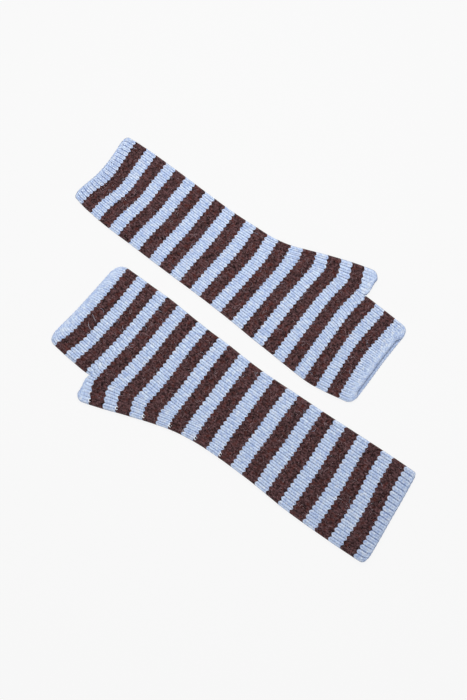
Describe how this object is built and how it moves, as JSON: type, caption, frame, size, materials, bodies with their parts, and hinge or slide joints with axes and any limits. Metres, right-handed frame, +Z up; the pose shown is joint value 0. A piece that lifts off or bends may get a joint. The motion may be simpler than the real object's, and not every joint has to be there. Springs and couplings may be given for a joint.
{
  "type": "pair of wrist warmers",
  "caption": "Pair of long fingerless wrist warmers in striped ribbed knit, laid flat: soft tubes, open at the forearm, hand and thumb, that keep wrists warm.",
  "frame": {"origin": "middle of the ground that the pair covers, on the surface it lies on", "axes": "+Z up, out of the upper layers of cloth; +Y towards the top of the picture, the longer way across the pair; +X to the picture's right"},
  "size_m": [0.3024, 0.3524, 0.0067],
  "materials": {
    "striped_wool": "matt ribbed lambswool knit in dark brown and light blue stripes"
  },
  "bodies": {
    "root": {"lower_warmer": "striped_wool", "upper_warmer": "striped_wool"}
  },
  "joints": []
}
